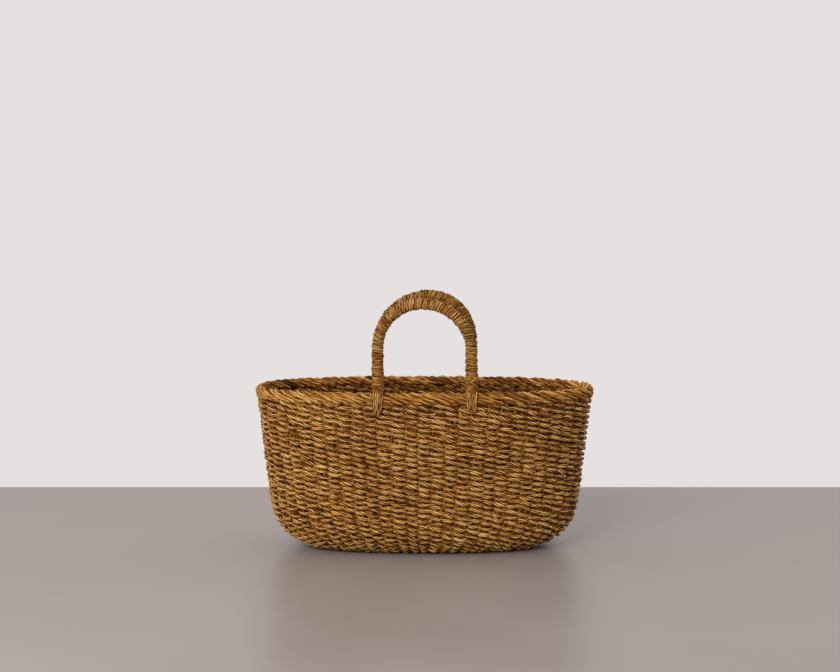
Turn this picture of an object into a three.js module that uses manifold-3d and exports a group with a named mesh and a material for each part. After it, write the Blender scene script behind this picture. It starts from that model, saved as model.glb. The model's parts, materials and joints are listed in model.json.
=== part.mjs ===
// Oval seagrass storage basket with two arched carrying handles, in millimetres.
// +X runs along the basket's length, -Y is its front and +Z is up. The origin is on the
// ground under the middle of the basket.
//
// The basket is woven on sixty stake ends. Cross stakes run from the front rim down the wall,
// under the base and up to the back rim, long stakes run from end to end above them, and end
// stakes are set in at the two ends. Each weft band goes in front of one stake and behind the
// next, the band above it goes the other way round, and the rim edge closes the top. Each
// handle is a cane core inside a wound seagrass wrap. A lashing sits over the rim under each of
// its feet, and the knot on top of the lashing is held inside the wrap, where the foot turns.
import * as THREE from "three";
import { mergeVertices } from "three/addons/utils/BufferGeometryUtils.js";
import Module from "manifold-3d";

const wasm = await Module();
wasm.setup();

// ---- Driving dimensions -------------------------------------------------------------------
const RIM_HALF_LENGTH = 205; // to the middle of the wall, at the top of the weave
const RIM_HALF_WIDTH = 97;
const WEAVE_TOP = 190; // where the stakes end and the rim edge begins
const RIM_EDGE_HEIGHT = 13;
const RIM_EDGE_WIDTH = 10.5;
const WALL_LEAN = 0.117; // how far the wall moves out for each millimetre up
const BASE_HALF_LENGTH = 130; // the flat part of the base
const BASE_HALF_WIDTH = 50;
const END_CORNER = 60; // radius of the bend from base to wall, at the two ends
const SIDE_CORNER = 30; // and at the front and back
const MAT_HALF_WIDTH = 36; // the woven middle of the base
const MAT_INSET = 2; // how far the mat's edge stops short of the first course
const LEVEL_HEIGHT = 62; // courses are level above it, and spaced wider round the ends below it
const OVAL_POWER = 2.4; // 2 would be a plain ellipse
const STAKES = 60;
const STAKE_WIDTH = 4.6;
const STAKE_THICKNESS = 3.4;
const WEFT_THICKNESS = 3;
const WEFT_LANDING = 0.6; // how far a band lies flat beyond each edge of a stake
const FIT_GAP = 0.35; // between pieces that touch in the real basket
const LASHING_CLEARANCE = 3 * FIT_GAP; // to the rim edge, which curves under a straight lashing
const CROSS_STAKE_REACH = 7; // stakes each side of the middle one that cross the base
const LONG_STAKE_PLACES = [-4, -2, 0, 2, 4]; // places at each end that long stakes come up at
const LONG_STAKE_NARROWING = 0.8; // they lie this much closer together over the mat
const LONG_STAKE_RUN = 30; // length over which they rise onto the cross stakes
const BASE_BAND_SHARE = 0.2; // of the way up to the level courses, where the first band ends
const CORNER_BAND_SHARE = 0.56; // and where the second one does
const WALL_BANDS = 5;
const FRONT_HALF_SPAN = 56.5; // middle of the basket to the middle of a leg
const BACK_HALF_SPAN = 61.5; // the back handle stands a little wider
const HANDLE_TOP = 310.5; // height of the middle of the arch
const FRONT_ARCH_LEAN = 3; // how far an arch leans to its left at the top, seen from outside
const BACK_ARCH_LEAN = 5.5;
const WRAP_RADIUS = 6.8;
const CORE_RADIUS = 4.4;
const LASHING_WIDTH = 15;
const LASHING_THICKNESS = 3;
const LASHING_DROP = 28; // how far a lashing hangs down each side of the wall
const SHORT_LASHING_DROP = 22; // and how far the right one at the front does
const LASHING_BEND = 2; // the cut corners where it turns over the rim
const KNOT_RADIUS = 3.2; // the knot that a foot turns on
const KNOT_WIDTH = 6;
const NECK_THICKNESS = 3;
const FOOT_BELOW_KNOT = 2; // how far the wrap reaches below the middle of the knot

// How finely curves are cut into straight steps.
const OVAL_STEPS = 48;
const WALL_STEPS = 720; // for measuring the length round the wall
const CORNER_BAND_STEPS = 3;
const RIM_SIDES = 8;
const KNOT_SIDES = 12;
const HANDLE_SIDES = 10;
const HANDLE_STEPS = 24;
const SMALL_STEP = 0.01; // for finding directions on the curved wall

// ---- Worked-out dimensions ----------------------------------------------------------------
const PASS_OFFSET = STAKE_THICKNESS / 2 + FIT_GAP + WEFT_THICKNESS / 2;
const HALF_WALL = PASS_OFFSET + WEFT_THICKNESS / 2;
const BASE_MIDDLE = HALF_WALL; // height of the stakes in the base
const RIM_TOP = WEAVE_TOP + FIT_GAP + RIM_EDGE_HEIGHT;
const LEAN_ANGLE = Math.atan(WALL_LEAN);
const MAT_HALF_LENGTH = BASE_HALF_LENGTH - BASE_HALF_WIDTH + MAT_HALF_WIDTH;
const BAND_FLAT = STAKE_WIDTH / 2 + WEFT_LANDING; // half the length of a band that is flat

const STRAW = new THREE.MeshStandardMaterial({ color: 0xa9834a, roughness: 0.75, metalness: 0 });
const STAKE = new THREE.MeshStandardMaterial({ color: 0x8a6a38, roughness: 0.8, metalness: 0 });
const CANE = new THREE.MeshStandardMaterial({ color: 0xb89a62, roughness: 0.6, metalness: 0 });
const WRAP = new THREE.MeshStandardMaterial({ color: 0xa87c42, roughness: 0.7, metalness: 0 });

const basket = new THREE.Group();

function addPiece(name, geometry, material, parent = basket) {
  const mesh = new THREE.Mesh(geometry, material);
  mesh.name = name;
  parent.add(mesh);
  return mesh;
}

// ---- The shape that everything is woven on --------------------------------------------------
// One side's profile in its own vertical plane: how far out and how high the middle of the wall
// is, a length along it from the edge of the base mat. Three stretches: flat, bend and wall.
function makeProfile(flatEnd, corner, rimReach) {
  const flat = BASE_HALF_WIDTH - MAT_HALF_WIDTH;
  const turn = Math.PI / 2 - LEAN_ANGLE;
  const bend = corner * turn;
  const tangent = new THREE.Vector2(
    flatEnd + corner * Math.cos(LEAN_ANGLE),
    BASE_MIDDLE + corner * (1 - Math.sin(LEAN_ANGLE)),
  );
  const rim = new THREE.Vector2(rimReach, WEAVE_TOP);
  const wall = rim.distanceTo(tangent);
  const lengthAtHeight = (z) => flat + bend + (wall * (z - tangent.y)) / (rim.y - tangent.y);
  const at = (length) => {
    if (length <= flat) return new THREE.Vector2(flatEnd - flat + length, BASE_MIDDLE);
    if (length <= flat + bend) {
      const angle = (length - flat) / corner;
      return new THREE.Vector2(
        flatEnd + corner * Math.sin(angle),
        BASE_MIDDLE + corner * (1 - Math.cos(angle)),
      );
    }
    return tangent.clone().lerp(rim, (length - flat - bend) / wall);
  };
  return { at, lengthAtHeight, total: flat + bend + wall };
}

const endProfile = makeProfile(BASE_HALF_LENGTH, END_CORNER, RIM_HALF_LENGTH);
const sideProfile = makeProfile(BASE_HALF_WIDTH, SIDE_CORNER, RIM_HALF_WIDTH);

const sideLevel = sideProfile.lengthAtHeight(LEVEL_HEIGHT);
const endLevel = endProfile.lengthAtHeight(LEVEL_HEIGHT);

// The length up the end that a course reaches when it is this far up the side.
function endLengthFor(sideLength) {
  if (sideLength <= sideLevel) return (sideLength * endLevel) / sideLevel;
  const up = (sideLength - sideLevel) / (sideProfile.total - sideLevel);
  return endLevel + up * (endProfile.total - endLevel);
}

const ovalPower = (value) => Math.sign(value) * Math.abs(value) ** (2 / OVAL_POWER);

// The point of the middle surface at an angle round the basket and a length up its front.
function surfacePoint(angle, sideLength) {
  const side = sideProfile.at(sideLength);
  const end = endProfile.at(endLengthFor(sideLength));
  const share = Math.sin(angle) ** 2;
  return new THREE.Vector3(
    end.x * ovalPower(Math.cos(angle)),
    side.x * ovalPower(Math.sin(angle)),
    THREE.MathUtils.lerp(end.y, side.y, share),
  );
}

// That point with the direction round the basket and the one square out of the surface.
function surfaceFrame(angle, sideLength) {
  const point = surfacePoint(angle, sideLength);
  const ahead = surfacePoint(angle + SMALL_STEP, sideLength);
  const behind = surfacePoint(angle - SMALL_STEP, sideLength);
  const along = ahead.sub(behind).normalize();
  const upper = Math.min(sideLength + SMALL_STEP, sideProfile.total);
  const lower = surfacePoint(angle, upper - 2 * SMALL_STEP);
  const up = surfacePoint(angle, upper).sub(lower).normalize();
  return { point, along, outward: along.clone().cross(up).normalize() };
}

// Angles at which the stakes stand, evenly spaced round the wall at half its height.
function stakeAngles() {
  const length = sideProfile.lengthAtHeight(WEAVE_TOP / 2);
  const angleOf = (step) => (step * 2 * Math.PI) / WALL_STEPS;
  const travelled = [0];
  for (let i = 1; i <= WALL_STEPS; i++) {
    const from = surfacePoint(angleOf(i - 1), length);
    const to = surfacePoint(angleOf(i), length);
    travelled.push(travelled[i - 1] + from.distanceTo(to));
  }
  const angles = [];
  let i = 0;
  for (let j = 0; j < STAKES; j++) {
    const target = (travelled[WALL_STEPS] * j) / STAKES;
    while (travelled[i + 1] < target) i++;
    const share = (target - travelled[i]) / (travelled[i + 1] - travelled[i]);
    angles.push(angleOf(i + share));
  }
  return angles;
}

const angles = stakeAngles();
const stakeAngle = (place) => angles[((place % STAKES) + STAKES) % STAKES];

// ---- Solids from cross-sections -------------------------------------------------------------
// Joins loops of points, each given anticlockwise as seen from the next one, into one closed
// surface. A closed run joins its last loop to its first, and an open one gets flat ends.
function loft(loops, closed) {
  const sides = loops[0].length;
  const positions = loops.flat().flatMap((p) => [p.x, p.y, p.z]);
  const index = [];
  const runs = closed ? loops.length : loops.length - 1;
  for (let i = 0; i < runs; i++) {
    const here = i * sides;
    const there = ((i + 1) % loops.length) * sides;
    for (let k = 0; k < sides; k++) {
      const next = (k + 1) % sides;
      index.push(here + k, here + next, there + next, here + k, there + next, there + k);
    }
  }
  if (!closed) {
    const last = (loops.length - 1) * sides;
    for (let k = 1; k < sides - 1; k++) {
      index.push(0, k + 1, k);
      index.push(last, last + k, last + k + 1);
    }
  }
  const geometry = new THREE.BufferGeometry();
  geometry.setAttribute("position", new THREE.Float32BufferAttribute(positions, 3));
  geometry.setIndex(index);
  geometry.computeVertexNormals();
  return geometry;
}

// The weft bands from the base mat up, each with the lengths up the side where it has a row of
// points. Stakes have their sections at the same lengths, so the two stay the same gap apart.
function layCourses() {
  const wallBand = (sideProfile.total - sideLevel) / WALL_BANDS;
  const lower = sideLevel * CORNER_BAND_SHARE;
  const courses = [
    { name: "base_weft_band", to: sideLevel * BASE_BAND_SHARE, steps: 1 },
    { name: "lower_corner_weft_band", to: lower, steps: CORNER_BAND_STEPS },
    { name: "upper_corner_weft_band", to: sideLevel, steps: CORNER_BAND_STEPS },
  ];
  for (let i = 1; i <= WALL_BANDS; i++) {
    const name = i < WALL_BANDS ? `wall_weft_band_${i}` : "rim_waling_band";
    courses.push({ name, to: sideLevel + wallBand * i, steps: 1 });
  }
  let from = 0;
  for (const course of courses) {
    course.rows = [];
    for (let i = 0; i <= course.steps; i++) {
      course.rows.push(from + ((course.to - from) * i) / course.steps);
    }
    from = course.to + FIT_GAP;
  }
  return courses;
}

const courses = layCourses();

// ---- Stakes -----------------------------------------------------------------------------------
const stakeLengths = [0, ...courses.flatMap((course) => course.rows.slice(1))];

// The four corners of a stake's section, where along points the way that the stake is wide.
function stakeSection(point, along, outward) {
  const w = along.clone().multiplyScalar(STAKE_WIDTH / 2);
  const t = outward.clone().multiplyScalar(STAKE_THICKNESS / 2);
  return [
    point.clone().sub(w).sub(t),
    point.clone().sub(w).add(t),
    point.clone().add(w).add(t),
    point.clone().add(w).sub(t),
  ];
}

// Sections from the foot of the wall to the rim at one place round the basket.
function risingSections(place) {
  return stakeLengths.map((length) => {
    const { point, along, outward } = surfaceFrame(stakeAngle(place), length);
    return stakeSection(point, along, outward);
  });
}

// The same stake continued down the other side: its sections come in the other order, and each
// is turned over so that the corners stay in step.
const fallingSections = (place) =>
  risingSections(place).reverse().map((corners) => corners.reverse());

function addCrossStakes() {
  for (let k = -CROSS_STAKE_REACH; k <= CROSS_STAKE_REACH; k++) {
    const back = STAKES / 4 + k;
    const front = (3 * STAKES) / 4 - k;
    const sections = [...fallingSections(front), ...risingSections(back)];
    const number = String(k + CROSS_STAKE_REACH + 1).padStart(2, "0");
    addPiece(`cross_stake_${number}`, loft(sections, false), STAKE);
  }
}

// A long stake rises onto the cross stakes just inside the mat and lies on them.
function addLongStakes() {
  const lift = STAKE_THICKNESS + FIT_GAP;
  LONG_STAKE_PLACES.forEach((place, i) => {
    const foot = surfaceFrame(stakeAngle(place), 0).point;
    const crossing = (x) => {
      const point = new THREE.Vector3(x, foot.y * LONG_STAKE_NARROWING, BASE_MIDDLE + lift);
      return stakeSection(point, new THREE.Vector3(0, 1, 0), new THREE.Vector3(0, 0, -1));
    };
    const landing = foot.x - LONG_STAKE_RUN;
    const sections = [
      ...fallingSections(STAKES / 2 - place),
      crossing(-landing),
      crossing(landing),
      ...risingSections(place),
    ];
    addPiece(`long_stake_${i + 1}`, loft(sections, false), STAKE);
  });
}

function addEndStakes() {
  const reach = STAKES / 4 - CROSS_STAKE_REACH - 1;
  for (const [end, middle] of [["right", 0], ["left", STAKES / 2]]) {
    let number = 0;
    for (let k = -reach; k <= reach; k++) {
      if (LONG_STAKE_PLACES.includes(k)) continue;
      number += 1;
      const name = `${end}_end_stake_${String(number).padStart(2, "0")}`;
      addPiece(name, loft(risingSections(middle + k), false), STAKE);
    }
  }
}

// ---- Weft bands ---------------------------------------------------------------------------------
// A closed band between two lengths up the side. It lies flat on each stake, outside it at one
// and inside it at the next, and slants across between them.
function weftBand(rows, phase) {
  const loops = [];
  for (let j = 0; j < STAKES; j++) {
    const offset = (j + phase) % 2 === 0 ? PASS_OFFSET : -PASS_OFFSET;
    for (const side of [-1, 1]) {
      const inner = [];
      const outer = [];
      for (const length of rows) {
        const { point, along, outward } = surfaceFrame(stakeAngle(j), length);
        const middle = point.clone().addScaledVector(along, side * BAND_FLAT);
        inner.push(middle.clone().addScaledVector(outward, offset - WEFT_THICKNESS / 2));
        outer.push(middle.clone().addScaledVector(outward, offset + WEFT_THICKNESS / 2));
      }
      loops.push([...inner, ...outer.reverse()]);
    }
  }
  return loft(loops, true);
}

function addWeftBands() {
  courses.forEach(({ name, rows }, i) => addPiece(name, weftBand(rows, i), STRAW));
}

// ---- Base mat and rim edge ------------------------------------------------------------------------
function ovalPoints(halfLength, halfWidth) {
  const points = [];
  for (let i = 0; i < OVAL_STEPS; i++) {
    const angle = (i * 2 * Math.PI) / OVAL_STEPS;
    points.push(new THREE.Vector2(
      halfLength * ovalPower(Math.cos(angle)),
      halfWidth * ovalPower(Math.sin(angle)),
    ));
  }
  return points;
}

// The woven middle of the base, which lies under the crossing stakes.
function addBaseMat() {
  const edge = ovalPoints(MAT_HALF_LENGTH - MAT_INSET, MAT_HALF_WIDTH - MAT_INSET);
  const thickness = BASE_MIDDLE - STAKE_THICKNESS / 2 - FIT_GAP;
  const mat = new THREE.ExtrudeGeometry(new THREE.Shape(edge), {
    depth: thickness,
    bevelEnabled: false,
  });
  addPiece("base_mat", mat, STRAW);
}

// The rope edge that closes the top of the weave: a ring of rounded section.
function addRimEdge() {
  const toCorner = 1 / (2 * Math.cos(Math.PI / RIM_SIDES));
  const section = [];
  for (let k = 0; k < RIM_SIDES; k++) {
    const angle = ((k + 0.5) * 2 * Math.PI) / RIM_SIDES;
    section.push([
      RIM_EDGE_WIDTH * toCorner * Math.sin(angle),
      RIM_EDGE_HEIGHT * toCorner * Math.cos(angle),
    ]);
  }
  const middle = WEAVE_TOP + FIT_GAP + RIM_EDGE_HEIGHT / 2;
  const loops = angles.map((angle) => {
    const { point, along } = surfaceFrame(angle, sideProfile.total);
    const level = new THREE.Vector3(along.y, -along.x, 0).normalize();
    return section.map(([across, high]) =>
      new THREE.Vector3(point.x, point.y, middle + high).addScaledVector(level, across));
  });
  addPiece("rim_edge", loft(loops, true), STRAW);
}

// ---- Lashings -------------------------------------------------------------------------------------
// A closed geometry as a solid that can be joined to others, and back again.
function solidOf(geometry) {
  const bare = geometry.index ? geometry.toNonIndexed() : geometry.clone();
  bare.deleteAttribute("normal");
  bare.deleteAttribute("uv");
  const merged = mergeVertices(bare, 1e-3);
  return new wasm.Manifold(new wasm.Mesh({
    numProp: 3,
    vertProperties: merged.attributes.position.array,
    triVerts: new Uint32Array(merged.index.array),
  }));
}

function geometryOf(solid) {
  const mesh = solid.getMesh();
  const geometry = new THREE.BufferGeometry();
  geometry.setAttribute("position", new THREE.BufferAttribute(mesh.vertProperties, 3));
  geometry.setIndex(new THREE.BufferAttribute(mesh.triVerts, 1));
  geometry.computeVertexNormals();
  return geometry;
}

// An outline in the plane across the front wall, where the first number is how far out, made
// into a plate that is this wide along the wall.
function acrossWall(points, width) {
  const plate = new THREE.ExtrudeGeometry(
    new THREE.Shape(points.map(([out, up]) => new THREE.Vector2(out, up))),
    { depth: width, bevelEnabled: false },
  );
  plate.rotateX(Math.PI / 2);
  plate.translate(0, width / 2, 0);
  plate.rotateZ(-Math.PI / 2);
  return plate;
}

// How far out the middle of the front wall is, this far along it, at the height of the rim.
const wallOut = (x) =>
  RIM_HALF_WIDTH * (1 - (x / RIM_HALF_LENGTH) ** OVAL_POWER) ** (1 / OVAL_POWER);

const SADDLE_TOP = RIM_TOP + FIT_GAP + LASHING_THICKNESS;
const PIVOT_HEIGHT = SADDLE_TOP + FIT_GAP + Math.hypot(WRAP_RADIUS, FOOT_BELOW_KNOT);

// A saddle that hangs this far down over the rim at this place along the front, with a neck and
// a round knot on it. The saddle is turned to lie along the rim there, and the neck and knot
// face straight out.
function lashing(x, hang) {
  const out = wallOut(Math.abs(x));
  const slope = (wallOut(Math.abs(x) + 1) - out) * Math.sign(x);
  const clear = RIM_EDGE_WIDTH / 2 + LASHING_CLEARANCE;
  const far = clear + LASHING_THICKNESS;
  const drop = RIM_TOP - hang;
  const shift = WALL_LEAN * (WEAVE_TOP - drop);
  const outline = [
    [clear - shift, drop],
    [far - shift, drop],
    [far, WEAVE_TOP],
    [far, RIM_TOP],
    [far - LASHING_BEND, SADDLE_TOP],
    [LASHING_BEND - far, SADDLE_TOP],
    [-far, RIM_TOP],
    [-far, WEAVE_TOP],
    [-far - shift, drop],
    [-clear - shift, drop],
    [-clear, WEAVE_TOP],
    [-clear, RIM_TOP - LASHING_BEND],
    [LASHING_BEND - clear, RIM_TOP + FIT_GAP],
    [clear - LASHING_BEND, RIM_TOP + FIT_GAP],
    [clear, RIM_TOP - LASHING_BEND],
    [clear, WEAVE_TOP],
  ];
  const saddle = acrossWall(outline, LASHING_WIDTH);
  saddle.rotateZ(-Math.atan(slope));
  saddle.translate(0, -out, 0);
  const neck = [
    [out + NECK_THICKNESS / 2, SADDLE_TOP - LASHING_THICKNESS / 2],
    [out + NECK_THICKNESS / 2, PIVOT_HEIGHT],
    [out - NECK_THICKNESS / 2, PIVOT_HEIGHT],
    [out - NECK_THICKNESS / 2, SADDLE_TOP - LASHING_THICKNESS / 2],
  ];
  const knot = [];
  for (let i = 0; i < KNOT_SIDES; i++) {
    const angle = (i * 2 * Math.PI) / KNOT_SIDES;
    knot.push([out + KNOT_RADIUS * Math.cos(angle), PIVOT_HEIGHT + KNOT_RADIUS * Math.sin(angle)]);
  }
  const solid = solidOf(saddle)
    .add(solidOf(acrossWall(neck, KNOT_WIDTH)))
    .add(solidOf(acrossWall(knot, KNOT_WIDTH)));
  return geometryOf(solid);
}

// ---- Handles --------------------------------------------------------------------------------------
// The line of a handle from one foot, up its leg, over the half-round arch and down to the
// other foot, where lift is how far above the pivots it starts. It leans over more and more
// towards its top.
class HandleCurve extends THREE.Curve {
  constructor(halfSpan, lean, lift) {
    super();
    this.halfSpan = halfSpan;
    this.lean = lean;
    this.lift = lift;
    this.height = HANDLE_TOP - PIVOT_HEIGHT;
    this.archFoot = this.height - halfSpan;
  }

  getPoint(share, target = new THREE.Vector3()) {
    const leg = this.archFoot - this.lift;
    const arch = Math.PI * this.halfSpan;
    const along = share * (2 * leg + arch);
    const below = Math.max(leg - along, along - leg - arch, 0);
    const turn = Math.PI - THREE.MathUtils.clamp((along - leg) / this.halfSpan, 0, Math.PI);
    const z = this.archFoot + this.halfSpan * Math.sin(turn) - below;
    const x = this.halfSpan * Math.cos(turn) - this.lean * (z / this.height) ** 2;
    return target.set(x, 0, z);
  }
}

function roundOutline(radius) {
  const points = [];
  for (let i = 0; i < HANDLE_SIDES; i++) {
    const angle = (i * 2 * Math.PI) / HANDLE_SIDES;
    points.push(new THREE.Vector2(radius * Math.cos(angle), radius * Math.sin(angle)));
  }
  return points;
}

function alongHandle(shape, extrudePath) {
  return new THREE.ExtrudeGeometry(shape, { steps: HANDLE_STEPS, extrudePath });
}

// Builds one side's handle and lashings at the front. The back one is turned half way round.
function addHandle(side, halfSpan, lean, rightDrop, turn) {
  const out = wallOut(halfSpan);
  const half = new THREE.Group();
  half.rotation.z = turn;
  basket.add(half);
  const handle = new THREE.Group();
  handle.position.set(0, -out, PIVOT_HEIGHT);
  half.add(handle);
  const wrap = new THREE.Shape(roundOutline(WRAP_RADIUS));
  wrap.holes.push(new THREE.Path(roundOutline(CORE_RADIUS + 2 * FIT_GAP)));
  const core = new THREE.Shape(roundOutline(CORE_RADIUS));
  const wrapLine = new HandleCurve(halfSpan, lean, -FOOT_BELOW_KNOT);
  const coreLine = new HandleCurve(halfSpan, lean, KNOT_RADIUS + 2 * FIT_GAP);
  addPiece(`${side}_handle_wrap`, alongHandle(wrap, wrapLine), WRAP, handle);
  addPiece(`${side}_handle_core`, alongHandle(core, coreLine), CANE, handle);
  for (const place of [-1, 1]) {
    const name = place * Math.cos(turn) < 0 ? "left" : "right";
    const x = place * halfSpan;
    const hang = name === "right" ? rightDrop : LASHING_DROP;
    const piece = addPiece(`${side}_${name}_lashing`, lashing(x, hang), WRAP, half);
    piece.position.x = x;
  }
}

addBaseMat();
addCrossStakes();
addLongStakes();
addEndStakes();
addWeftBands();
addRimEdge();
addHandle("front", FRONT_HALF_SPAN, FRONT_ARCH_LEAN, SHORT_LASHING_DROP, 0);
addHandle("back", BACK_HALF_SPAN, BACK_ARCH_LEAN, LASHING_DROP, Math.PI);

export default basket;
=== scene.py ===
"""Looks of the oval seagrass basket: every row of the weave, its stakes, the rope rim, the
lashings and the wound handles as real strands. Metres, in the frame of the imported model."""

import json
import math

import bpy
import numpy as np
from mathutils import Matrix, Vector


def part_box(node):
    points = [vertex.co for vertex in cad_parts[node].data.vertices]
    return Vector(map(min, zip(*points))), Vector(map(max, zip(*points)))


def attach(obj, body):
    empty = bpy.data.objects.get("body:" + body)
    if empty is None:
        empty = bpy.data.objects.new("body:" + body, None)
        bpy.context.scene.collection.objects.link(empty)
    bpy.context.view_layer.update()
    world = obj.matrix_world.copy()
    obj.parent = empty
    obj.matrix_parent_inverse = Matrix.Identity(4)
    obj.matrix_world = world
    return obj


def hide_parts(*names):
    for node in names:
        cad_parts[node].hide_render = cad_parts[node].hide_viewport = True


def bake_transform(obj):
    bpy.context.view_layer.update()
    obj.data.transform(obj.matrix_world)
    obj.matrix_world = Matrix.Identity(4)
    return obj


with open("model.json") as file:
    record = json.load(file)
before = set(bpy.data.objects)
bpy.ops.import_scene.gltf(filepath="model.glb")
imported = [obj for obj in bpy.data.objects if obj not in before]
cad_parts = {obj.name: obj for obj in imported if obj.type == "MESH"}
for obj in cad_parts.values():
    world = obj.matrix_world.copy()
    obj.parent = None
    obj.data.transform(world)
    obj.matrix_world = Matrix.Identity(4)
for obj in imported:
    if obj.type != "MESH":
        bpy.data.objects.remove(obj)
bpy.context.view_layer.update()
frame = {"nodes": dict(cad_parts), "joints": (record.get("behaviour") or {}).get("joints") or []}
TAU = 2 * math.pi
MM = 0.001
rng = np.random.default_rng(7)


def corners(node):
    """The low and the high corner of a CAD node's box."""
    return [np.array(corner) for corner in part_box(node)]


# ---- Dimensions, from the frame's own boxes and the CAD model's driving sizes --------------------
RIM_LOW, RIM_HIGH = corners("rim_edge")
MAT_HIGH = corners("base_mat")[1]
STAKES = 60
OVAL_POWER = 2.4  # 2 would be a plain ellipse
WALL_LEAN = 0.117  # how far out the wall leans for each step up
END_CORNER = 60 * MM  # radius of the bend from the base into the wall at the two ends
SIDE_CORNER = 30 * MM  # and at the front and back
LEVEL_HEIGHT = 62 * MM  # rows are level above it, and spaced wider round the ends below it
FLAT = 14 * MM  # from the edge of the base mat to the start of the bottom corner
MAT_INSET = 2 * MM  # how far the mat stops short of the first row
FIT_GAP = 0.35 * MM  # between CAD pieces that touch in the real basket
CAD_STAKE_THICKNESS = 3.4 * MM
CAD_WEFT_THICKNESS = 3 * MM
RIM_HALF_THICK = 5.25 * MM
ARCH_LEAN = {"front": -3 * MM, "back": 5.5 * MM}  # how far the top of each arch stands aside

RIM_HALF = RIM_HIGH[:2] - RIM_HALF_THICK
RIM_TOP = RIM_HIGH[2]
WEAVE_TOP = RIM_LOW[2] - FIT_GAP
MAT_HALF = MAT_HIGH[:2] + MAT_INSET
BASE_MIDDLE = CAD_STAKE_THICKNESS / 2 + FIT_GAP + CAD_WEFT_THICKNESS

UP = (0.0, 0.0, 1.0)
DOWN = (0.0, 0.0, -1.0)
RIGHT = (1.0, 0.0, 0.0)
BACK = (0.0, 1.0, 0.0)


# ---- The surface that the weave follows ----------------------------------------------------------
class Profile:
    """One side's line from the base mat up to the rim: flat, bend, then the leaning wall."""

    def __init__(self, flat_end, corner, rim_reach):
        lean = math.atan(WALL_LEAN)
        self.flat_end = flat_end
        self.corner = corner
        self.bend = corner * (math.pi / 2 - lean)
        self.tangent = np.array([
            flat_end + corner * math.cos(lean),
            BASE_MIDDLE + corner * (1 - math.sin(lean)),
        ])
        self.rim = np.array([rim_reach, WEAVE_TOP])
        self.wall = np.linalg.norm(self.rim - self.tangent)
        self.total = FLAT + self.bend + self.wall

    def length_at(self, height):
        """How far up the line a height on the wall is."""
        rise = (height - self.tangent[1]) / (self.rim[1] - self.tangent[1])
        return FLAT + self.bend + self.wall * rise

    def at(self, length):
        """How far out and how high the line is at this length up it."""
        turn = np.clip((length - FLAT) / self.corner, 0, self.bend / self.corner)
        up = np.maximum(length - FLAT - self.bend, 0) / self.wall
        out = self.flat_end + np.minimum(length - FLAT, 0) + self.corner * np.sin(turn)
        high = BASE_MIDDLE + self.corner * (1 - np.cos(turn))
        out = out + up * (self.rim[0] - self.tangent[0])
        return out, high + up * (self.rim[1] - self.tangent[1])


END = Profile(MAT_HALF[0] + FLAT, END_CORNER, RIM_HALF[0])
SIDE = Profile(MAT_HALF[1] + FLAT, SIDE_CORNER, RIM_HALF[1])
SIDE_LEVEL = SIDE.length_at(LEVEL_HEIGHT)
END_LEVEL = END.length_at(LEVEL_HEIGHT)


def oval(value):
    """A cosine or sine changed so that the circle it draws becomes a fuller oval."""
    return np.sign(value) * np.abs(value) ** (2 / OVAL_POWER)


def surface(angle, length):
    """Points of the wall's middle surface, at an angle round it and a length up its front."""
    end_length = np.interp(length, [0, SIDE_LEVEL, SIDE.total], [0, END_LEVEL, END.total])
    side_out, side_high = SIDE.at(length)
    end_out, end_high = END.at(end_length)
    share = np.sin(angle) ** 2
    return np.stack([
        end_out * oval(np.cos(angle)),
        side_out * oval(np.sin(angle)),
        end_high + (side_high - end_high) * share,
    ], axis=-1)


def unit(vectors):
    """The same directions with a length of one."""
    return vectors / np.linalg.norm(vectors, axis=-1, keepdims=True)


def wall_frame(angle, length):
    """The surface's point with the directions along the row, up the wall and outward."""
    step = 0.3 * MM
    turn = 0.004
    along = unit(surface(angle + turn, length) - surface(angle - turn, length))
    low = np.clip(length - step, 0, SIDE.total - 2 * step)
    rise = unit(surface(angle, low + 2 * step) - surface(angle, low))
    outward = unit(np.cross(along, rise))
    return surface(angle, length), along, np.cross(outward, along), outward


def wall_shift(height):
    """How far in from its top the leaning wall is at this height."""
    return WALL_LEAN * np.maximum(WEAVE_TOP - height, 0)


def even_places():
    """Angles against places round the wall, evenly spaced at half its height."""
    parts = 1440
    grid = np.linspace(0, TAU, parts + 1)
    points = surface(grid, np.full_like(grid, SIDE.length_at(WEAVE_TOP / 2)))
    gone = np.concatenate([[0], np.cumsum(np.linalg.norm(np.diff(points, axis=0), axis=1))])
    return gone / gone[-1] * STAKES, grid


PLACES, PLACE_ANGLES = even_places()


def angle_of(place):
    """The angle of a place, which counts stakes round the wall from its right end."""
    laps = np.floor(place / STAKES)
    return np.interp(place - laps * STAKES, PLACES, PLACE_ANGLES) + laps * TAU


# ---- Strands -------------------------------------------------------------------------------------
GRAIN_STEP = 30 * MM  # the length of strand in which its pattern moves on by one
GRAIN_STARTS = 40  # each strand's pattern starts somewhere in this range
CROWN_EDGE = 0.7  # how far out on a strand's section its painted edge shade turns into painted light on its crown


def wander(places, spread, knots):
    """A smooth random wandering with one random value at each whole place, closed in a ring."""
    values = rng.normal(0, spread, knots)
    low = np.floor(places).astype(int)
    share = (1 - np.cos(math.pi * (places - low))) / 2
    return values[low % knots] * (1 - share) + values[(low + 1) % knots] * share


def everywhere(direction, line):
    """One direction, repeated for every point of a line."""
    return np.broadcast_to(direction, line.shape)


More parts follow.
